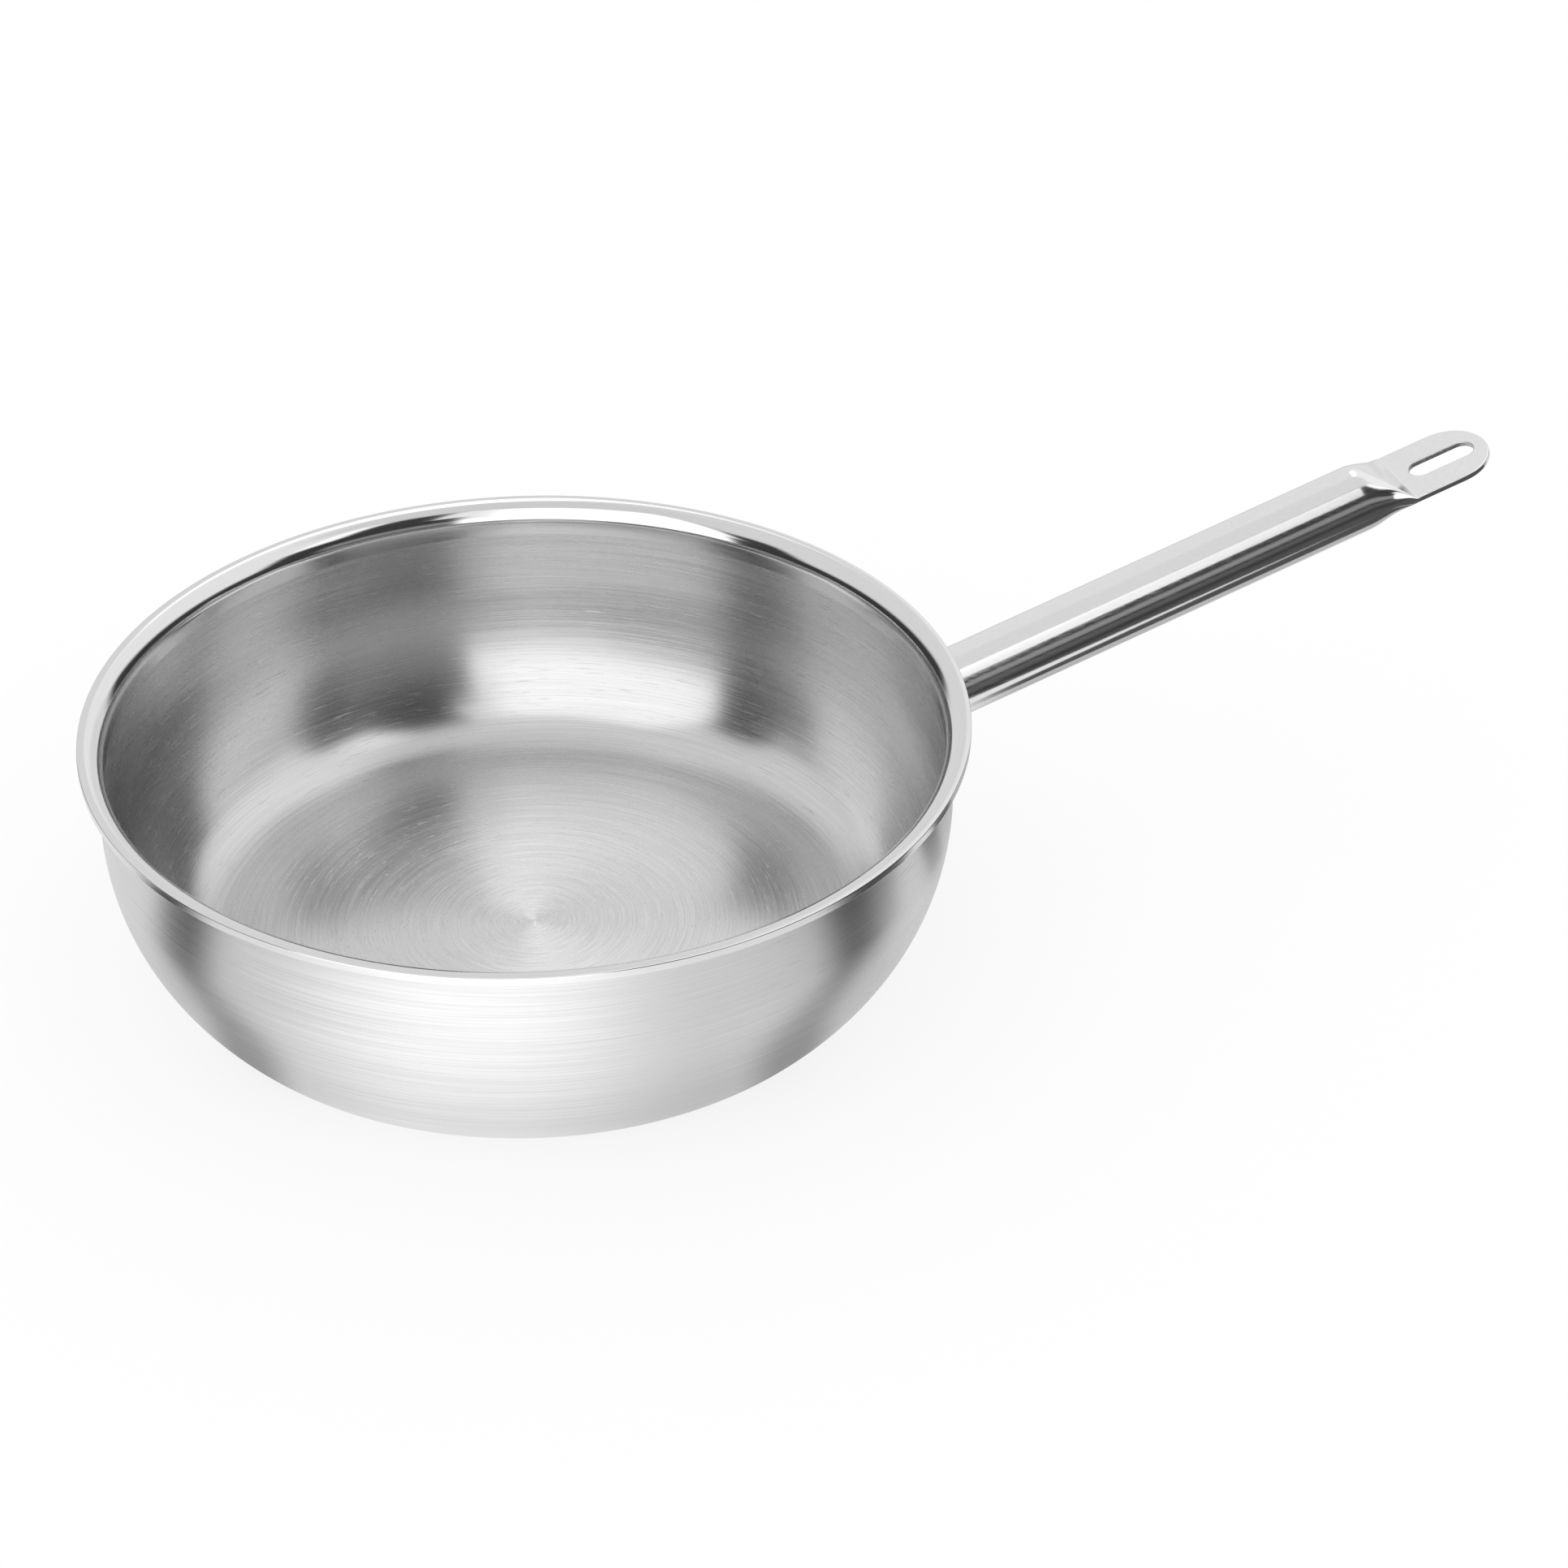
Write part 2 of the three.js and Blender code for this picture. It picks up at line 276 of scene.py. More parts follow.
def dress(obj, node):
    """Puts a piece in the place of its CAD node."""
    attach(obj, "root")
    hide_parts(node)


def turned(name, outer_depth, inner_depth, materials, is_polished=None):
    """One sheet of the bowl, turned about +Z, with its second material where it is polished."""
    outside = bowl_face(outer_depth)
    inside = bowl_face(inner_depth)
    profile = outside + lip_edge(outer_depth, inner_depth) + inside[::-1]
    bm = bmesh.new()
    first_pole = bm.verts.new((0, 0, outside[0][1]))
    last_pole = bm.verts.new((0, 0, inside[0][1]))
    rings = []
    for radius, height in profile:
        ring = []
        for side in range(BOWL_SIDES):
            angle = 2 * math.pi * side / BOWL_SIDES
            ring.append(bm.verts.new((radius * math.cos(angle), radius * math.sin(angle), height)))
        rings.append(ring)
    for side in range(BOWL_SIDES):
        after = (side + 1) % BOWL_SIDES
        bm.faces.new((first_pole, rings[0][side], rings[0][after]))
        bm.faces.new((last_pole, rings[-1][side], rings[-1][after]))
        for low, high in zip(rings, rings[1:]):
            bm.faces.new((low[side], low[after], high[after], high[side]))
    for face in bm.faces:
        centre = face.calc_center_median()
        if is_polished and is_polished(math.hypot(centre.x, centre.y), centre.z):
            face.material_index = 1
    return finish_mesh(name, bm, materials)


# Handle frame: local X along the tube's axis, local Z the top of the handle
handle_matrix = Matrix.Translation((WALL_RADIUS, 0, handle_height)) @ Matrix.Rotation(
    -HANDLE_TILT, 4, "Y"
)


def wall_radius_at(height):
    """Outside radius of the bowl's wall at a height."""
    if height >= curve_centre_height:
        return WALL_RADIUS
    drop = curve_centre_height - height
    return curve_centre_radius + math.sqrt(WALL_CURVE_RADIUS ** 2 - drop ** 2)


def on_wall(y, z, stand_off):
    """The point in the handle's frame, at local y and z, that stands off the bowl's wall."""
    x = 0.0
    for _ in range(SETTLING_ROUNDS):
        height = handle_height + x * math.sin(HANDLE_TILT) + z * math.cos(HANDLE_TILT)
        radius = wall_radius_at(height) + stand_off
        across = math.sqrt(radius ** 2 - y ** 2)
        x = (across - WALL_RADIUS + z * math.sin(HANDLE_TILT)) / math.cos(HANDLE_TILT)
    return Vector((x, y, z))


def pressed(share):
    """Height lost by the tube along its shoulder, from 0 to 1, ending in a slight crease."""
    return (1 - math.cos(SHOULDER_SWEEP * share)) / (1 - math.cos(SHOULDER_SWEEP))


def section(share):
    """A rounded rectangle across the handle as (y, z), from its left side over the top and round.

    The tube keeps its width while it is tall and flares to the width of the eye as it gets flat.
    """
    half_height = mix(TUBE_RADIUS, EYE_THICKNESS / 2, share)
    half_width = mix(TUBE_RADIUS, EYE_WIDTH / 2, share ** WIDTH_POWER)
    corner = mix(half_height, EYE_EDGE_ROUND, share ** EDGE_POWER)
    middle = -EYE_DROP * share
    y = half_width - corner
    z = half_height - corner
    points = arc((y, middle + z), corner, 0, 90, SECTION_STEPS)
    points.append((0, middle + half_height))
    points += arc((-y, middle + z), corner, 90, 180, SECTION_STEPS)
    points += arc((-y, middle - z), corner, 180, 270, SECTION_STEPS)
    points.append((0, middle - half_height))
    points += arc((y, middle - z), corner, 270, 360, SECTION_STEPS)
    return points


# Places in a section's list of points, where left is +Y
TOP_LEFT = SECTION_STEPS
TOP_MIDDLE = SECTION_STEPS + 1
TOP_RIGHT = SECTION_STEPS + 2
BOTTOM_RIGHT = 3 * SECTION_STEPS + 3
BOTTOM_MIDDLE = 3 * SECTION_STEPS + 4
BOTTOM_LEFT = 3 * SECTION_STEPS + 5


def eye_outline(inset):
    """Plan of the eye from the crease on its right side, round its end, to the left, as (x, y)."""
    crease = HANDLE_LENGTH - EYE_LENGTH
    radius = EYE_WIDTH / 2
    centre = (HANDLE_LENGTH - radius, 0)
    side = radius - inset
    right = straight((crease, -side), (centre[0], -side), EYE_SIDE_STEPS)
    left = straight((centre[0], side), (crease, side), EYE_SIDE_STEPS)
    return right + arc(centre, side, -90, 90, EYE_STEPS) + left


def slot_outline(outset):
    """Plan of the slot from its near end, along its right side to its far end and back, as (x, y)."""
    radius = SLOT_WIDTH / 2
    far = (HANDLE_LENGTH - SLOT_TO_TIP - radius, 0)
    near = (HANDLE_LENGTH - SLOT_TO_TIP - SLOT_LENGTH + radius, 0)
    near_right = arc(near, radius + outset, 180, 270, EYE_STEPS // 2)
    far_end = arc(far, radius + outset, -90, 90, EYE_STEPS)
    near_left = arc(near, radius + outset, 90, 180, EYE_STEPS // 2)
    return near_right + far_end + near_left[:-1]


def edge_layers():
    """(inset, height) steps up a rounded edge of the eye, from its underside to its top."""
    half = EYE_THICKNESS / 2
    low = arc((0, -half + EYE_EDGE_ROUND), EYE_EDGE_ROUND, 270, 360, SECTION_STEPS)
    high = arc((0, half - EYE_EDGE_ROUND), EYE_EDGE_ROUND, 0, 90, SECTION_STEPS)
    return [(EYE_EDGE_ROUND - x, z - EYE_DROP) for x, z in low + high]


def bridge(bm, first, second, closed, material_index=0):
    """Quads between two rows of vertices."""
    count = len(first)
    for i in range(count if closed else count - 1):
        j = (i + 1) % count
        face = bm.faces.new((first[i], first[j], second[j], second[i]))
        face.material_index = material_index


def tube_rings(bm):
    """Rings of vertices along the tube, from the saddle to the crease at the end of its shoulder."""
    stand_off = SEAT_GAP + SADDLE_THICKNESS + FIT_GAP
    shoulder = HANDLE_LENGTH - EYE_LENGTH - SHOULDER_LENGTH
    sections = []
    for i in range(1, TUBE_RINGS):
        sections.append((shoulder * i / TUBE_RINGS, section(0)))
    for i in range(SHOULDER_STEPS + 1):
        along = i / SHOULDER_STEPS
        sections.append((shoulder + along * SHOULDER_LENGTH, section(pressed(along))))
    rings = [[bm.verts.new(on_wall(y, z, stand_off)) for y, z in section(0)]]
    for x, points in sections:
        rings.append([bm.verts.new((x, y, z)) for y, z in points])
    return rings


def make_handle_tube(material, cut_material):
    """Tube from the saddle to its flat eye, with the cut material in the hanging slot."""
    bm = bmesh.new()
    rings = tube_rings(bm)
    for first, second in zip(rings, rings[1:]):
        bridge(bm, first, second, True)
    bm.faces.new(rings[0])

    # Rounded edge of the eye: each layer starts and ends on the last section
    last = rings[-1]
    left = last[BOTTOM_LEFT:] + last[:TOP_LEFT + 1]
    right = last[BOTTOM_RIGHT:TOP_RIGHT - 1:-1]
    edge = edge_layers()
    layers = []
    for (inset, height), start, end in zip(edge, right, left):
        around = [bm.verts.new((x, y, height)) for x, y in eye_outline(inset)]
        layers.append([start] + around + [end])
    for first, second in zip(layers, layers[1:]):
        bridge(bm, first, second, False)

    # Slot wall, and flat faces above and below in two halves each
    slot_layers = []
    for inset, height in edge:
        slot_layers.append([bm.verts.new((x, y, height)) for x, y in slot_outline(inset)])
    for first, second in zip(slot_layers, slot_layers[1:]):
        bridge(bm, first, second, True, material_index=1)
    for outer, inner, middle in (
        (layers[0], slot_layers[0], last[BOTTOM_MIDDLE]),
        (layers[-1], slot_layers[-1], last[TOP_MIDDLE]),
    ):
        tip = len(outer) // 2
        far = len(inner) // 2
        bm.faces.new([middle] + outer[:tip + 1] + inner[far::-1])
        bm.faces.new([middle] + outer[:tip - 1:-1] + inner[far:] + [inner[0]])
    bmesh.ops.remove_doubles(bm, verts=bm.verts, dist=MERGE_DISTANCE)
    obj = finish_mesh("handle_tube_skin", bm, [material, cut_material], sharp_degrees=60)
    obj.data.transform(handle_matrix)
    return obj


def saddle_outline():
    """A rectangle with round corners as (y, z)."""
    y = SADDLE_WIDTH / 2 - SADDLE_CORNER_RADIUS
    z = SADDLE_TALL / 2 - SADDLE_CORNER_RADIUS
    corners = []
    for turn, centre in enumerate(((y, z), (-y, z), (-y, -z), (y, -z))):
        start = 90 * turn
        corners.append(arc(centre, SADDLE_CORNER_RADIUS, start, start + 90, SADDLE_CORNER_STEPS))
    outline = []
    for corner, following in zip(corners, corners[1:] + corners[:1]):
        outline += corner + straight(corner[-1], following[0], SADDLE_SIDE_STEPS)
    return outline


def make_saddle(material):
    """Pressed plate with rounded corners that hugs the wall."""
    front = SEAT_GAP + SADDLE_THICKNESS
    side_end = front - SADDLE_EDGE_ROUND
    steps = [(1.0, SEAT_GAP), (1.0, side_end)]
    for reach, height in arc((0, 0), SADDLE_EDGE_ROUND, 0, 90, SADDLE_EDGE_STEPS)[1:]:
        inset = SADDLE_EDGE_ROUND - reach
        steps.append((1 - inset / (SADDLE_TALL / 2), side_end + height))
    for i in range(SADDLE_RINGS - 1, 0, -1):
        steps.append((SADDLE_FLAT_SHARE * i / SADDLE_RINGS, front))

    bm = bmesh.new()
    outline = saddle_outline()
    loops = []
    for scale, stand_off in steps:
        loops.append([bm.verts.new(on_wall(scale * y, scale * z, stand_off)) for y, z in outline])
    for first, second in zip(loops, loops[1:]):
        bridge(bm, first, second, True)
    for loop, stand_off in ((loops[-1], front), (loops[0], SEAT_GAP)):
        centre = bm.verts.new(on_wall(0, 0, stand_off))
        for i, vertex in enumerate(loop):
            bm.faces.new((centre, vertex, loop[(i + 1) % len(loop)]))
    obj = finish_mesh("handle_saddle_plate", bm, [material])
    obj.data.transform(handle_matrix)
    return obj


def make_weld(material):
    """Rippled weld bead where the tube meets the saddle."""
    bm = bmesh.new()
    foot_radius = TUBE_RADIUS + WELD_TO_TUBE
    stand_off = SEAT_GAP + SADDLE_THICKNESS + SEAT_GAP
    loops = []
    for i in range(WELD_SIDES):
        angle = 2 * math.pi * i / WELD_SIDES
        ripple = RIPPLE_SHARE * math.sin(RIPPLE_COUNT * angle)
        wave = WAVE_SHARE * math.sin(WAVE_COUNT * angle + WAVE_START)
        reach = WELD_FULLNESS * WELD_RADIUS * (1 + ripple + wave)
        loop = []
        for outward, along in arc((foot_radius, 0), reach, 0, 90, WELD_STEPS) + [(foot_radius, 0)]:
            seat = on_wall(outward * math.cos(angle), outward * math.sin(angle), stand_off)
            loop.append(bm.verts.new(seat + Vector((along, 0, 0))))
        loops.append(loop)
    for i, loop in enumerate(loops):
        bridge(bm, loop, loops[(i + 1) % WELD_SIDES], True)
    obj = finish_mesh("handle_weld_bead", bm, [material])
    obj.data.transform(handle_matrix)
    return obj


# Materials

class Nodes:
    """Short calls for building one node tree."""

    def __init__(self, owner):
        owner.use_nodes = True
        self.owner = owner
        self.tree = owner.node_tree
        self.shader = self.tree.nodes.get("Principled BSDF")

    def add(self, kind, **values):
        node = self.tree.nodes.new(kind)
        for key, value in values.items():
            setattr(node, key, value)
        return node

    def link(self, output, target):
        """Joins an output to a socket, or to the shader's input of that name."""
        if isinstance(target, bpy.types.NodeSocket):
            self.tree.links.new(output, target)
        else:
            self.tree.links.new(output, self.shader.inputs[target])

    def place(self):
        """Where a point is on its object."""
        return self.add("ShaderNodeTexCoord").outputs["Object"]

    def split(self, vector):
        """The X, Y and Z of a vector."""
        node = self.add("ShaderNodeSeparateXYZ")
        self.link(vector, node.inputs[0])
        return node.outputs

    def combine(self, x, y, z):
        node = self.add("ShaderNodeCombineXYZ")
        for socket, value in zip(node.inputs, (x, y, z)):
            self.link(value, socket)
        return node.outputs[0]

    def math(self, operation, *values):
        """An operation on one value or on two, or on more of them in turn."""
        node = self.add("ShaderNodeMath", operation=operation)
        for socket, value in zip(node.inputs[:2], values):
            if isinstance(value, (int, float)):
                socket.default_value = value
            else:
                self.link(value, socket)
        if len(values) > 2:
            return self.math(operation, node.outputs[0], *values[2:])
        return node.outputs[0]

    def left_of_one(self, value):
        """What is left when the value is taken from 1."""
        return self.math("SUBTRACT", 1, value)

    def ramp(self, value, edge, levels):
        """Goes smoothly from the first level to the second over an edge."""
        node = self.add("ShaderNodeMapRange", interpolation_type="SMOOTHSTEP")
        for socket, number in zip(node.inputs[1:5], (*edge, *levels)):
            socket.default_value = number
        self.link(value, node.inputs[0])
        return node.outputs[0]

    def rise(self, value, edge):
        """Goes smoothly from 0 to 1 over an edge."""
        return self.ramp(value, edge, (0, 1))

    def fall(self, value, edge):
        """Goes smoothly from 1 to 0 over an edge."""
        return self.left_of_one(self.rise(value, edge))

    def window(self, value, start, end, soft):
        """1 between start and end, 0 outside, over a soft edge."""
        rise = self.rise(value, (start - soft / 2, start + soft / 2))
        fall = self.fall(value, (end - soft / 2, end + soft / 2))
        return self.math("MULTIPLY", rise, fall)

    def spread(self, noise, low, high, noise_low=0.3, noise_high=0.7):
        """Maps a noise value to a range."""
        node = self.add("ShaderNodeMapRange")
        for socket, number in zip(node.inputs[1:5], (noise_low, noise_high, low, high)):
            socket.default_value = number
        self.link(noise, node.inputs[0])
        return node.outputs[0]

    def noise(self, vector, detail, scale=1):
        node = self.add("ShaderNodeTexNoise")
        node.inputs["Scale"].default_value = scale
        node.inputs["Detail"].default_value = detail
        self.link(vector, node.inputs["Vector"])
        return node.outputs[0]

    def grey(self, value):
        node = self.add("ShaderNodeCombineColor")
        for socket in node.inputs[:3]:
            self.link(value, socket)
        return node.outputs[0]

    def bump(self, height, distance, strength):
        node = self.add("ShaderNodeBump")
        node.inputs["Strength"].default_value = strength
        node.inputs["Distance"].default_value = distance
        self.link(height, node.inputs["Height"])
        self.link(node.outputs[0], "Normal")


def round_grain(nodes, turns, across):
    """Coordinates stretched round the bowl's axis: slow along the brushing, fast across it."""
    x, y, z = nodes.split(nodes.place())
    squares = nodes.math("ADD", nodes.math("MULTIPLY", x, x), nodes.math("MULTIPLY", y, y))
    radius = nodes.math("SQRT", squares)
    off_axis = nodes.math("MAXIMUM", radius, 0.5 * MM)
    along_x = nodes.math("MULTIPLY", nodes.math("DIVIDE", x, off_axis), turns)
    along_y = nodes.math("MULTIPLY", nodes.math("DIVIDE", y, off_axis), turns)
    over = nodes.math("MULTIPLY", nodes.math("ADD", radius, z), across)
    return nodes.combine(along_x, along_y, over)


def lip_grain(nodes):
    """Polishing marks round the lip."""
    return round_grain(nodes, turns=8, across=2200)


def handle_grain(nodes):
    """Coordinates stretched along the handle's own axis."""
    mapping = nodes.add("ShaderNodeMapping")
    mapping.inputs["Rotation"].default_value = (0, HANDLE_TILT, 0)
    mapping.inputs["Scale"].default_value = (60, 2500, 2500)
    nodes.link(nodes.place(), mapping.inputs["Vector"])
    return mapping.outputs[0]


def new_metal(name):
    """Nodes of a new metal material."""
    nodes = Nodes(bpy.data.materials.new(name))
    nodes.shader.inputs["Metallic"].default_value = 1
    return nodes


def brushed_steel(name, shade, roughness, anisotropy, scratched):
    """Stainless steel brushed round the bowl, with short scratches along the brushing."""
    nodes = new_metal(name)
    quarter_turn = 0.25
    nodes.shader.inputs["Anisotropic"].default_value = anisotropy
    nodes.shader.inputs["Anisotropic Rotation"].default_value = quarter_turn
    tangent = nodes.add("ShaderNodeTangent", direction_type="RADIAL", axis="Z")
    nodes.link(tangent.outputs[0], "Tangent")
    fine = nodes.noise(round_grain(nodes, turns=2, across=2600), detail=1)
    short = nodes.noise(round_grain(nodes, turns=14, across=3000), detail=0)
    scratch = nodes.spread(short, 0, scratched, noise_low=0.70, noise_high=0.80)
    nodes.link(nodes.grey(nodes.spread(fine, shade * 0.92, shade * 1.08)), "Base Color")
    plain = nodes.spread(fine, roughness * 0.9, roughness * 1.1)
    nodes.link(nodes.math("ADD", plain, scratch), "Roughness")
    nodes.bump(fine, distance=0.006 * MM, strength=0.3)
    return nodes.owner


def polished_metal(name, shade, roughness, grain):
    """Polished metal with faint polishing marks."""
    nodes = new_metal(name)
    marks = nodes.noise(grain(nodes), detail=3)
    nodes.link(nodes.grey(nodes.spread(marks, shade * 0.98, shade * 1.02)), "Base Color")
    nodes.link(nodes.spread(marks, roughness * 0.7, roughness * 1.4), "Roughness")
    return nodes.owner


def pressed_steel(name, shade, roughness):
    """Plain pressed steel with a soft mottle."""
    nodes = new_metal(name)
    mottle = nodes.noise(nodes.place(), detail=4, scale=900)
    nodes.link(nodes.grey(nodes.spread(mottle, shade * 0.92, shade * 1.05)), "Base Color")
    nodes.link(nodes.spread(mottle, roughness * 0.8, roughness * 1.25), "Roughness")
    nodes.bump(mottle, distance=0.03 * MM, strength=0.3)
    return nodes.owner


inside_steel = brushed_steel("brushed inside", shade=0.66, roughness=0.24, anisotropy=0.82, scratched=0.15)
outside_steel = brushed_steel("satin outside", shade=0.66, roughness=0.3, anisotropy=0.8, scratched=0.08)
lip_steel = polished_metal("polished lip", shade=0.72, roughness=0.1, grain=lip_grain)
handle_steel = polished_metal("polished handle", shade=0.8, roughness=0.12, grain=handle_grain)
edge_aluminium = polished_metal("aluminium edge", shade=0.72, roughness=0.2, grain=lip_grain)
saddle_steel = pressed_steel("pressed saddle", shade=0.6, roughness=0.28)
weld_steel = pressed_steel("dressed weld", shade=0.52, roughness=0.34)
slot_steel = pressed_steel("cut slot", shade=0.68, roughness=0.45)


# Pieces

def in_polished_band(radius, height):
    """The inner sheet is brushed below its polished band, and polished from there to the lip."""
    return height >= PAN_HEIGHT - POLISHED_BAND


def on_cut_edge(radius, height):
    """The outer sheet is satin all over, and polished on the lip's cut edge."""
    return radius > RIM_RADIUS - LIP_EDGE_ROUND


dress(
    turned("inner_sheet", OUTER_PLY + CORE_PLY, BOWL_WALL, [inside_steel, lip_steel], in_polished_band),
    "inner_ply",
)
dress(
    turned("core_sheet", OUTER_PLY, OUTER_PLY + CORE_PLY, [edge_aluminium]),
    "core_ply",
)
dress(
    turned("outer_sheet", 0, OUTER_PLY, [outside_steel, lip_steel], on_cut_edge),
    "outer_ply",
)
dress(make_handle_tube(handle_steel, slot_steel), "handle_tube")
dress(make_saddle(saddle_steel), "handle_saddle")
dress(make_weld(weld_steel), "handle_weld")


# Camera

def make_camera():
    data = bpy.data.cameras.new("camera")
    data.sensor_width = SENSOR_WIDTH
    data.lens = FOCAL_PIXELS / PHOTO_PIXELS * SENSOR_WIDTH
    data.clip_start = CLIP_START
    camera = bpy.data.objects.new("camera", data)
    bpy.context.scene.collection.objects.link(camera)
    turn = Matrix.Rotation(CAMERA_AZIMUTH, 3, "Z")
    right = turn @ Vector((1, 0, 0))
    forward = turn @ Vector((0, math.cos(CAMERA_ELEVATION), -math.sin(CAMERA_ELEVATION)))
    up = right.cross(forward)
    half = PHOTO_PIXELS / 2
    across = (RIM_CENTRE_PIXEL[0] - half) / FOCAL_PIXELS * RIM_CENTRE_DISTANCE
    below = (RIM_CENTRE_PIXEL[1] - half) / FOCAL_PIXELS * RIM_CENTRE_DISTANCE
    rim_centre = Vector((0, 0, PAN_HEIGHT))
    place = rim_centre - forward * RIM_CENTRE_DISTANCE - right * across + up * below
    rotation = Matrix((right, up, -forward)).transposed()
    camera.matrix_world = Matrix.Translation(place) @ rotation.to_4x4()
    bpy.context.scene.camera = camera


make_camera()


# Studio: what the metal mirrors is laid out round the camera, and the camera itself sees plain white

def seen_from_camera(nodes, place):
    """Degrees round +Z from the camera's side, positive to the camera's right."""
    right = (math.cos(CAMERA_AZIMUTH), math.sin(CAMERA_AZIMUTH), 0)
    near = (math.sin(CAMERA_AZIMUTH), -math.cos(CAMERA_AZIMUTH), 0)
    parts = []
    for direction in (right, near):
        dot = nodes.add("ShaderNodeVectorMath", operation="DOT_PRODUCT")
        dot.inputs[1].default_value = direction
        nodes.link(place, dot.inputs[0])
        parts.append(dot.outputs["Value"])
    return nodes.math("DEGREES", nodes.math("ARCTAN2", *parts))


def room_mirrored(nodes):
    """Brightness of the room as the metal mirrors it: soft-edged boxes of light, sized in degrees."""
    direction = nodes.add("ShaderNodeTexCoord").outputs["Generated"]
    azimuth = seen_from_camera(nodes, direction)
    either_side = nodes.math("ABSOLUTE", azimuth)
    elevation = nodes.math("DEGREES", nodes.math("ARCSINE", nodes.split(direction)["Z"]))
    ceiling = 66
    all_round = 400

    def light(across, upward, soft, level, round_from=azimuth):
        wide = nodes.window(round_from, *across, soft)
        tall = nodes.window(elevation, *upward, soft)
        return nodes.math("MULTIPLY", wide, tall, level)

    boxes = [
        light(across=(-all_round, all_round), upward=(ceiling, 100), soft=10, level=0.78),
        # Key light in front, fading to its right, and low light in front
        light(across=(-58, 12), upward=(23, ceiling), soft=6, level=1.42),
        light(across=(12, 20), upward=(23, ceiling), soft=6, level=1.12),
        light(across=(20, 29), upward=(38, ceiling), soft=3, level=1.0),
        light(across=(-54, 20), upward=(-20, 23), soft=5, level=1.75),
        light(across=(20, 58), upward=(6, 20), soft=8, level=0.25),
        # The sides and the back of the room
        light(across=(60, 78), upward=(42, ceiling), soft=8, level=1.32),
        light(across=(-78, -60), upward=(42, ceiling), soft=8, level=0.8),
        light(across=(78, all_round), upward=(22, ceiling), soft=10, level=1.0),
        light(across=(-all_round, -78), upward=(22, ceiling), soft=10, level=0.84),
        light(across=(140, all_round), upward=(-20, 22), soft=10, level=0.84, round_from=either_side),
        light(across=(171, all_round), upward=(42, ceiling), soft=6, level=0.9, round_from=either_side),
    ]
    return nodes.math("ADD", *boxes, STUDIO_FILL)


def make_world():
    """Plain white, apart from what the metal mirrors."""
    world = bpy.data.worlds.new("studio")
    bpy.context.scene.world = world
    nodes = Nodes(world)
    path = nodes.add("ShaderNodeLightPath")
    blend = nodes.add("ShaderNodeMix", data_type="FLOAT")
    nodes.link(path.outputs["Is Glossy Ray"], blend.inputs["Factor"])
    blend.inputs["A"].default_value = ROOM_WHITE
    nodes.link(room_mirrored(nodes), blend.inputs["B"])
    background = nodes.tree.nodes["Background"]
    background.inputs["Color"].default_value = (1, 1, 1, 1)
    nodes.link(blend.outputs["Result"], background.inputs["Strength"])


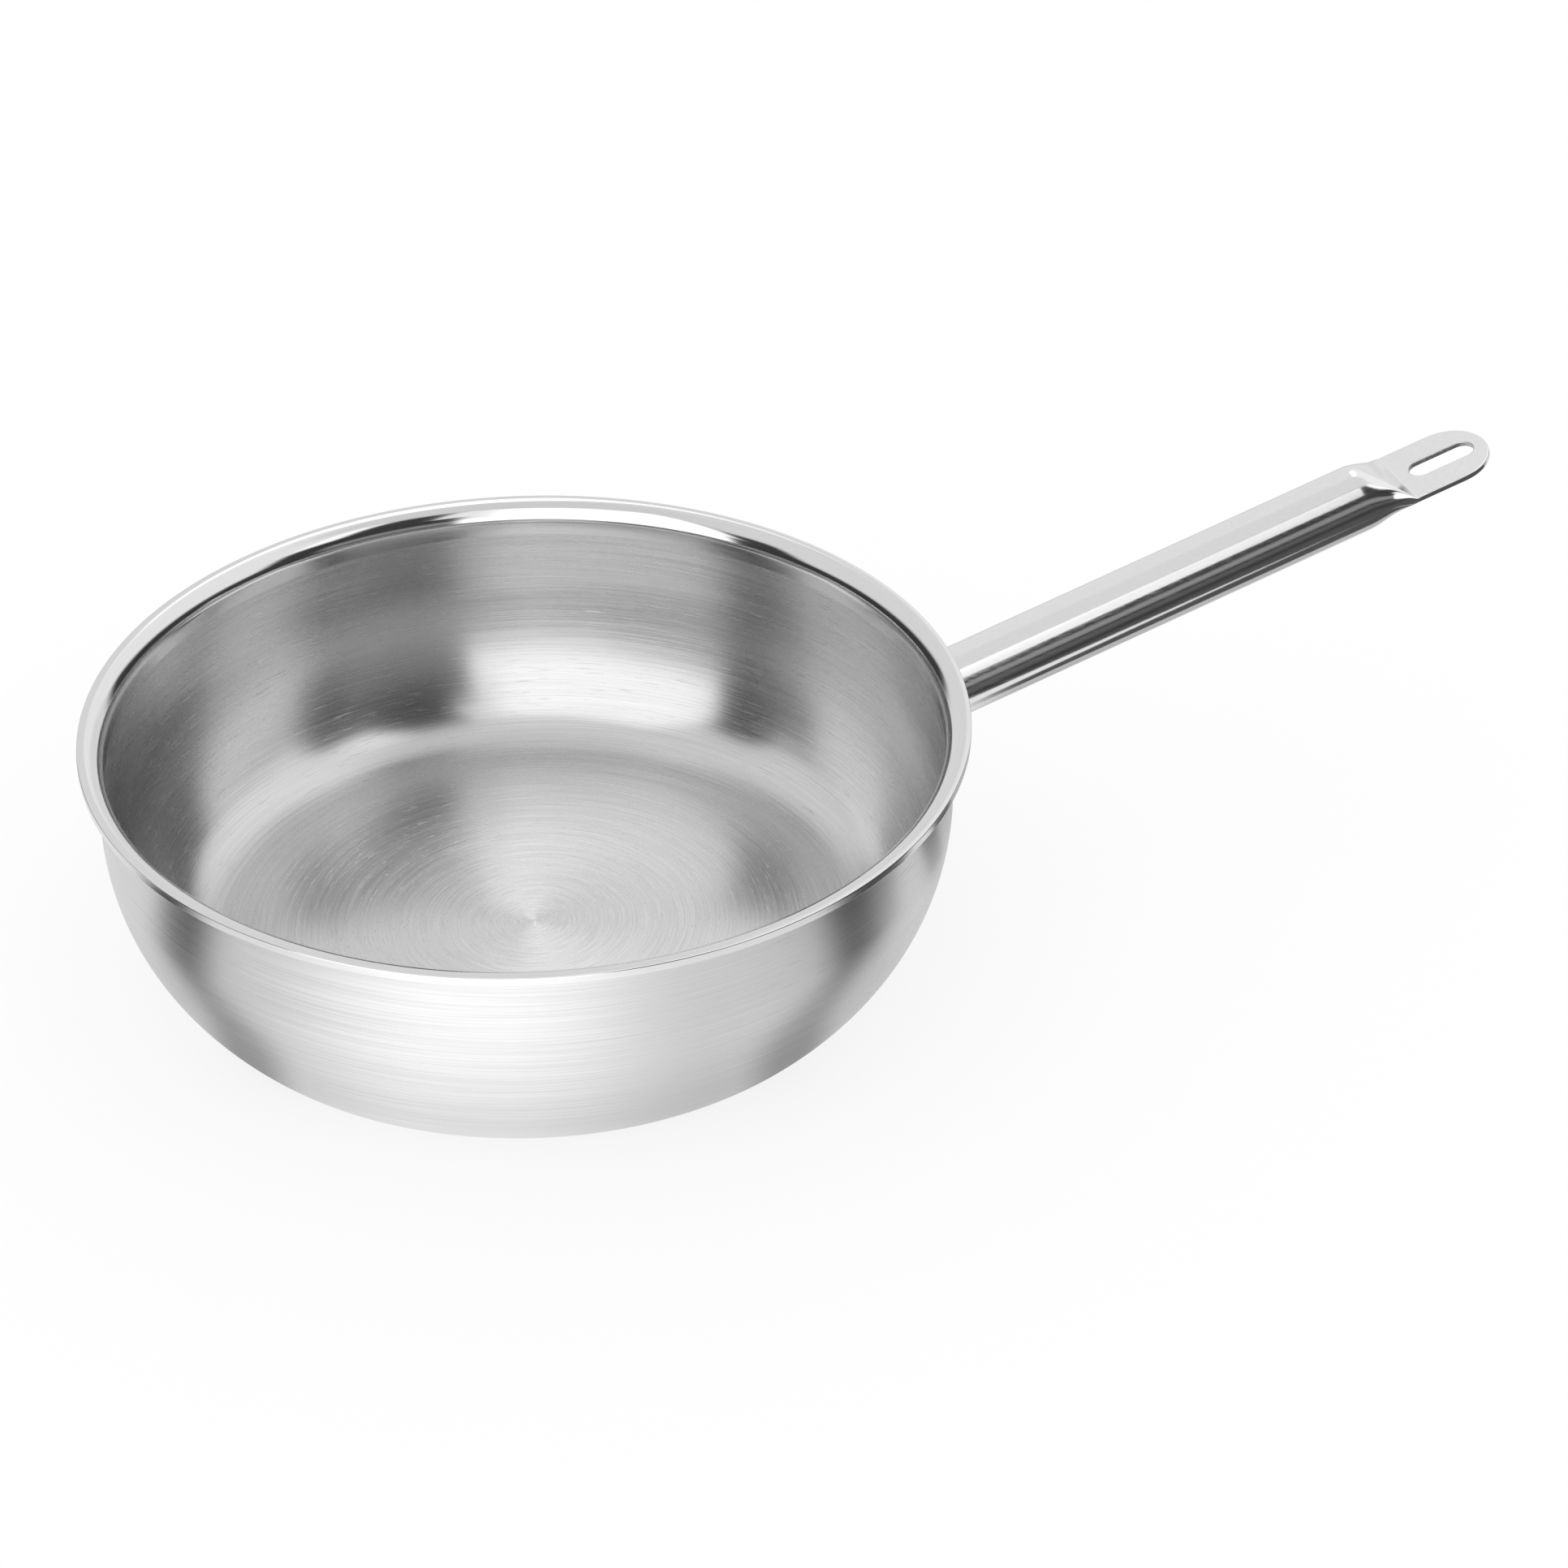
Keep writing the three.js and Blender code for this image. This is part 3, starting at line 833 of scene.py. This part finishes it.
def painted_floor_reflection(nodes):
    """Painted reflection: how brightly the floor glows where the metal mirrors it."""
    place = nodes.place()
    azimuth = seen_from_camera(nodes, place)
    aside = nodes.math("ABSOLUTE", azimuth)
    from_brightest = nodes.math("ABSOLUTE", nodes.math("SUBTRACT", azimuth, BRIGHTEST_AZIMUTH))
    length = nodes.add("ShaderNodeVectorMath", operation="LENGTH")
    nodes.link(place, length.inputs[0])
    distance = length.outputs["Value"]
    along, across, _ = nodes.split(place)

    def darkened(cover, depth):
        return nodes.left_of_one(nodes.math("MULTIPLY", cover, depth))

    # Bright in front of the pan, more so farther out, plainer beside and behind it, with painted shade
    # close round and under it
    plain = nodes.ramp(from_brightest, FRONT_FADE, FRONT_LEVELS)
    in_front = nodes.fall(aside, FAR_FRONT_SIDES)
    farther_out = nodes.rise(distance, FAR_FRONT_REACH)
    far_front = nodes.math("ADD", 1, nodes.math("MULTIPLY", in_front, farther_out, FAR_FRONT_GAIN))
    behind = nodes.ramp(aside, BEHIND_SIDES, BEHIND_LEVELS)
    painted_pan_shade = nodes.ramp(distance, PAINTED_PAN_SHADE_REACH, PAINTED_PAN_SHADE_LEVELS)

    # A painted dark gap in the reflection on each side of the pan, which gets deeper and turns away from
    # the camera farther out
    from_gap = nodes.math("SUBTRACT", aside, nodes.ramp(distance, GAP_REACH, GAP_AZIMUTHS))
    in_gap = nodes.fall(nodes.math("ABSOLUTE", from_gap), GAP_FADE)
    gap = darkened(in_gap, nodes.ramp(distance, GAP_REACH, GAP_DEPTHS))

    # A painted dark patch in front of the handle, and a painted dark strip nearer to it that widens to
    # meet the patch
    past_bowl = nodes.rise(along, PAINTED_DARK_START_X)
    slanted = nodes.math("ADD", across, nodes.math("MULTIPLY", along, STRIP_SLANT))
    before_handle = nodes.fall(across, STRIP_EDGE_Y)
    strip = nodes.math("MULTIPLY", nodes.rise(slanted, STRIP_SLANT_EDGE), before_handle)
    dark_patch_or_strip = nodes.math("MAXIMUM", nodes.fall(across, DARK_PATCH_EDGE_Y), strip)
    left_by_dark_marks = darkened(nodes.math("MULTIPLY", dark_patch_or_strip, past_bowl), PAINTED_DARK_DEPTH)
    # Painted shade on the floor under the handle, as the metal mirrors it
    below_handle = nodes.window(across, *HANDLE_SHADE_Y, HANDLE_SHADE_SOFT)
    shaded = darkened(nodes.math("MULTIPLY", below_handle, past_bowl), HANDLE_SHADE_DEPTH)

    lit = nodes.math("MULTIPLY", plain, far_front, behind, gap, left_by_dark_marks, shaded, painted_pan_shade)
    return nodes.math("ADD", lit, STUDIO_FILL)


def make_floor():
    """White paper that mostly glows, with a painted reflection where the metal mirrors it."""
    bm = bmesh.new()
    bmesh.ops.create_circle(bm, cap_ends=True, segments=FLOOR_SIDES, radius=FLOOR_RADIUS)
    mesh = bpy.data.meshes.new("floor")
    bm.to_mesh(mesh)
    bm.free()
    floor = bpy.data.objects.new("floor", mesh)
    floor.location.z = -FLOOR_DROP
    bpy.context.scene.collection.objects.link(floor)
    nodes = Nodes(bpy.data.materials.new("white floor"))
    nodes.tree.nodes.remove(nodes.shader)
    # Painted reflection: a glow on the floor that only glossy rays see
    painted_reflection_glow = nodes.add("ShaderNodeEmission")
    nodes.link(painted_floor_reflection(nodes), painted_reflection_glow.inputs["Strength"])
    paper = nodes.add("ShaderNodeBsdfDiffuse")
    paper.inputs["Color"].default_value = (PAPER_SHADE, PAPER_SHADE, PAPER_SHADE, 1)
    paper_glow = nodes.add("ShaderNodeEmission")
    white = nodes.add("ShaderNodeMixShader")
    white.inputs[0].default_value = PAPER_GLOW_SHARE
    nodes.link(paper.outputs[0], white.inputs[1])
    nodes.link(paper_glow.outputs[0], white.inputs[2])
    blend = nodes.add("ShaderNodeMixShader")
    path = nodes.add("ShaderNodeLightPath")
    nodes.link(path.outputs["Is Glossy Ray"], blend.inputs[0])
    nodes.link(white.outputs[0], blend.inputs[1])
    nodes.link(painted_reflection_glow.outputs[0], blend.inputs[2])
    nodes.link(blend.outputs[0], nodes.tree.nodes["Material Output"].inputs["Surface"])
    mesh.materials.append(nodes.owner)


make_world()
make_floor()
bpy.context.scene.view_settings.view_transform = "Standard"
